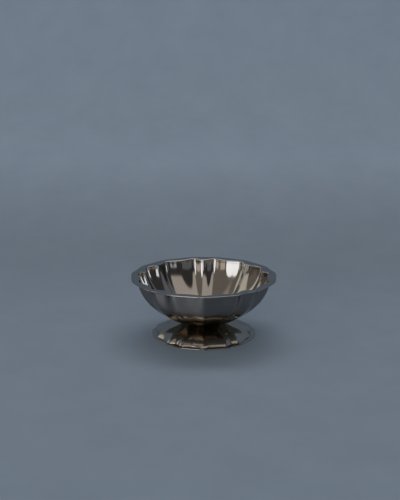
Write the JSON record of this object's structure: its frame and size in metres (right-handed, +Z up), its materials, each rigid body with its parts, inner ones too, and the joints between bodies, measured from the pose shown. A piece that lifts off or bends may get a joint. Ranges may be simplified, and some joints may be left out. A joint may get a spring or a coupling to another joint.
{
  "type": "sorbet coupe",
  "caption": "Small footed dish of polished steel: a fluted bowl with a turned-out scalloped rim, brazed to a low fluted foot, for serving sorbet",
  "frame": {"origin": "on the turning axis, in the plane of the table that the foot stands on", "axes": "+Z up along the turning axis, out of the bowl; -Y is the front, with the middle of a petal facing it; +X to the right seen from the front"},
  "size_m": [0.0998, 0.1, 0.0412],
  "materials": {
    "bowl_steel": "mirror-polished stainless steel sheet",
    "foot_steel": "mirror-polished stainless steel sheet",
    "braze": "dull brazing metal, hidden between the two shells"
  },
  "bodies": {
    "root": {"bowl": "bowl_steel", "foot": "foot_steel", "braze_disc": "braze"}
  },
  "joints": []
}
